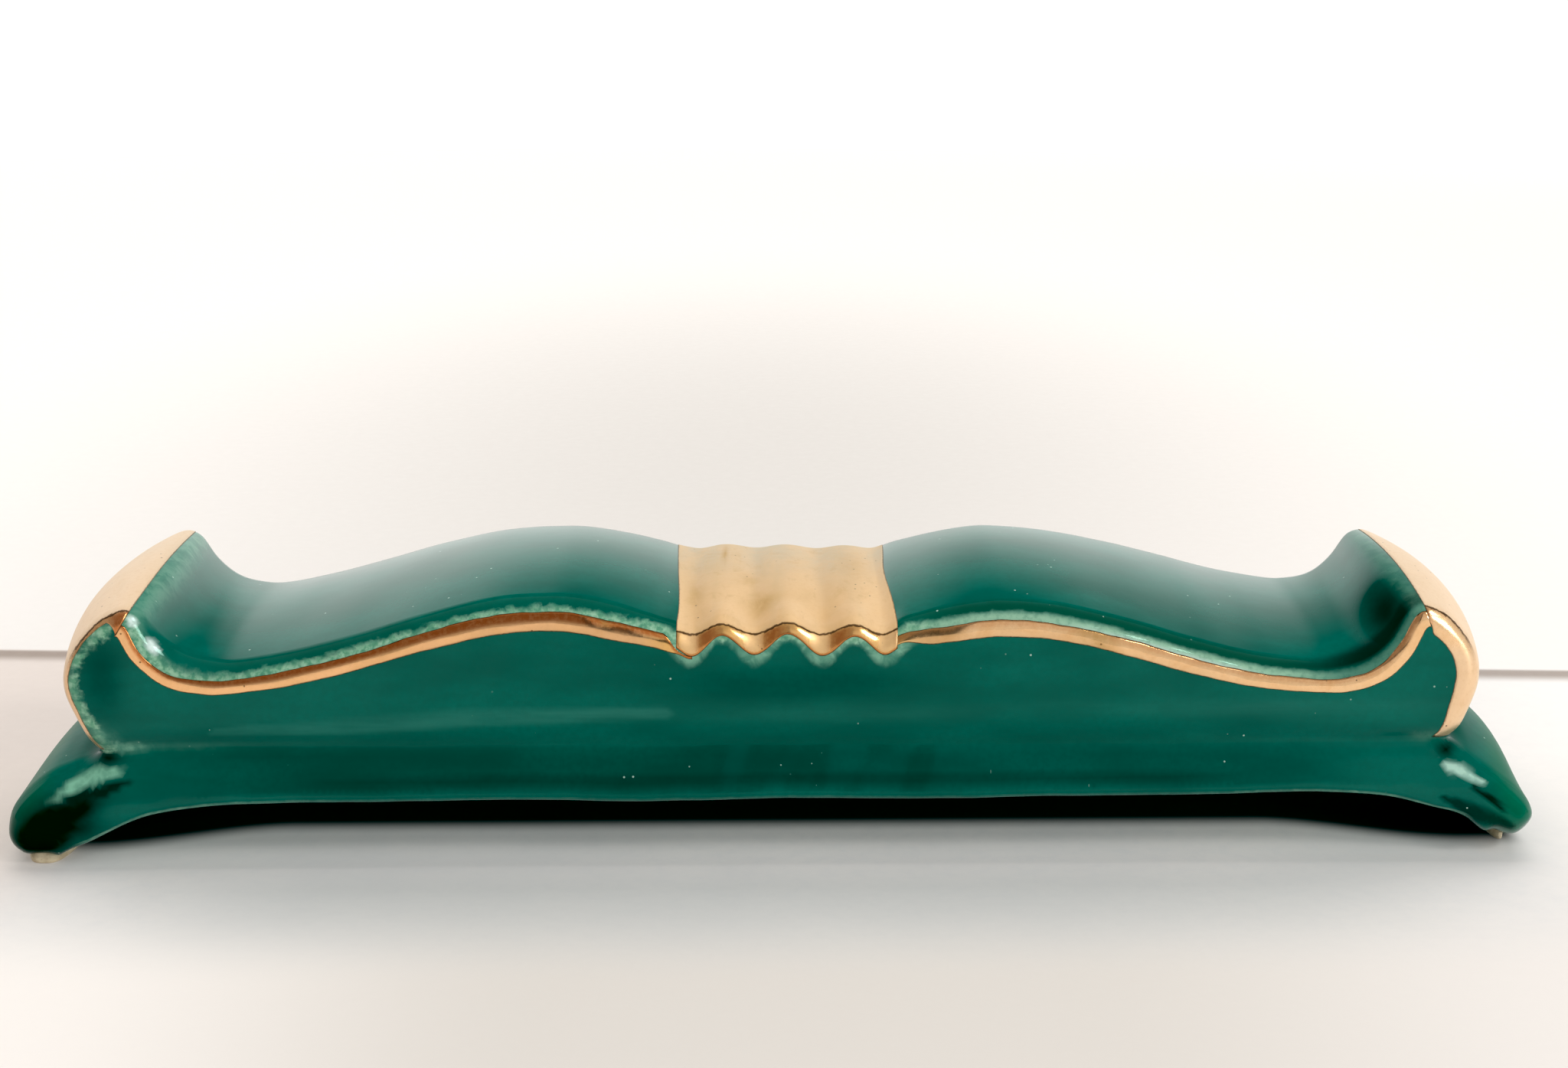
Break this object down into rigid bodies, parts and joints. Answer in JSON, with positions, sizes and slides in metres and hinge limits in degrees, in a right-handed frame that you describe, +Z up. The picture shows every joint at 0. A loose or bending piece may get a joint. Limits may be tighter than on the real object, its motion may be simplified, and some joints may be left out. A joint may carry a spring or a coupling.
{
  "type": "knife rest",
  "caption": "Long glazed ceramic knife rest: a wavy saddle bar with a ribbed gilt middle, two cradles for handles, curled end horns and bar feet.",
  "frame": {"origin": "on the table, under the middle of the knife rest's length and depth", "axes": "+X along the length, -Y the front face seen in the picture, +Z up"},
  "size_m": [0.095, 0.0204, 0.0173],
  "materials": {
    "biscuit": "matt cream fired clay",
    "glaze": "glossy deep teal green glaze, pale where it breaks over edges",
    "gilt": "bright fired gold lustre, worn in places"
  },
  "bodies": {
    "root": {"biscuit_body": "biscuit", "glaze_coat": "glaze", "gilt_saddle": "gilt", "gilt_line_front_left": "gilt", "gilt_line_front_right": "gilt", "gilt_line_back_left": "gilt", "gilt_line_back_right": "gilt", "gilt_end_left": "gilt", "gilt_end_right": "gilt"}
  },
  "joints": []
}
